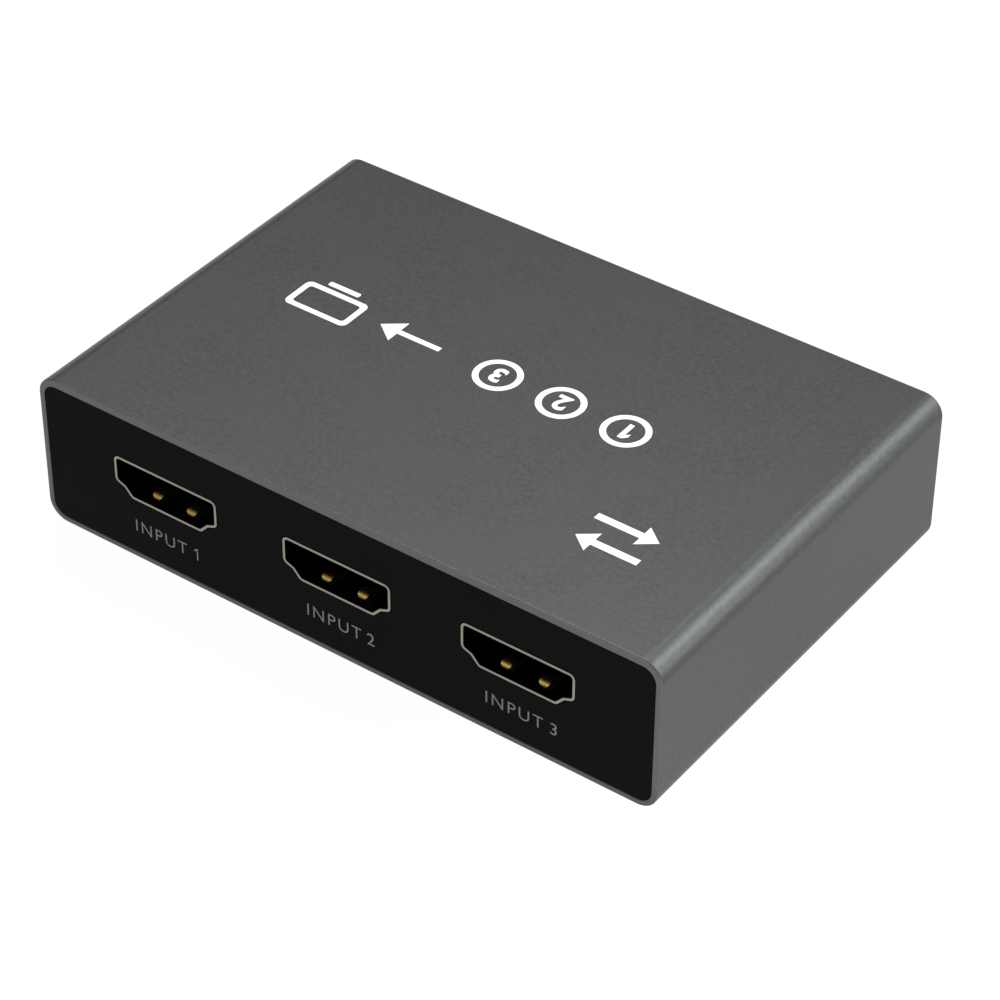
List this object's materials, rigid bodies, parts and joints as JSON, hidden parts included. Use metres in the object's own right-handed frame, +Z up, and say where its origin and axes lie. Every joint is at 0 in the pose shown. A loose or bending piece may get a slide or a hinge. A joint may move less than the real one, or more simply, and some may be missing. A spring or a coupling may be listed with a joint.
{
  "type": "video switch box",
  "caption": "Flat aluminium box that switches between video inputs, with sockets on both end panels, a select button, status lights and a power inlet.",
  "frame": {"origin": "under the middle of the box, on the plane that the feet stand on", "axes": "+X along the width, -Y out of the input panel, +Y out of the output panel, +Z up"},
  "size_m": [0.0834, 0.0564, 0.021],
  "materials": {
    "sleeve_aluminium": "bead-blasted, dark grey anodised",
    "panel_plastic": "smooth satin black",
    "screw_steel": "zinc plated",
    "foot_rubber": "matt black",
    "board_laminate": "green solder mask",
    "button_plastic": "satin black",
    "plunger_plastic": "plain moulding",
    "black_resin": "moulded matt black",
    "shell_metal": "nickel plated sheet",
    "spring_steel": "bright sheet",
    "clear_acrylic": "clear, slightly frosted ends",
    "ferrite": "moulded grey",
    "capacitor_can": "plain can",
    "ceramic": "fired ceramic",
    "led_white": "white moulding",
    "contact_gold": "gold flashed"
  },
  "bodies": {
    "case": {"sleeve": "sleeve_aluminium", "input_panel": "panel_plastic", "output_panel": "panel_plastic", "panel_screws": "screw_steel", "rubber_feet": "foot_rubber", "main_board": "board_laminate", "switch_base": "black_resin", "switch_cover": "shell_metal", "switch_dome": "spring_steel", "switch_terminals": "spring_steel", "light_guide": "clear_acrylic", "switching_chip": "black_resin", "controller_chip": "black_resin", "crystal": "spring_steel", "regulator": "black_resin", "power_inductor": "ferrite", "bulk_capacitor": "capacitor_can", "ceramic_capacitors": "ceramic", "chip_resistors": "black_resin", "surge_arrays": "black_resin", "power_shell": "shell_metal", "power_insulator": "black_resin", "power_contacts": "contact_gold", "input_1_shell": "shell_metal", "input_1_insulator": "black_resin", "input_1_contacts": "contact_gold", "input_2_shell": "shell_metal", "input_2_insulator": "black_resin", "input_2_contacts": "contact_gold", "input_3_shell": "shell_metal", "input_3_insulator": "black_resin", "input_3_contacts": "contact_gold", "output_shell": "shell_metal", "output_insulator": "black_resin", "output_contacts": "contact_gold", "status_led_1": "led_white", "status_led_2": "led_white", "status_led_3": "led_white"},
    "button": {"select_button": "button_plastic", "switch_plunger": "plunger_plastic"}
  },
  "joints": [
    {"name": "select_press", "type": "slide", "parent": "case", "child": "button", "axis": [0, -1, 0], "range_m": [0, 0.0003], "stiffness_N_per_m": 5000, "deforming": ["switch_dome"]}
  ]
}
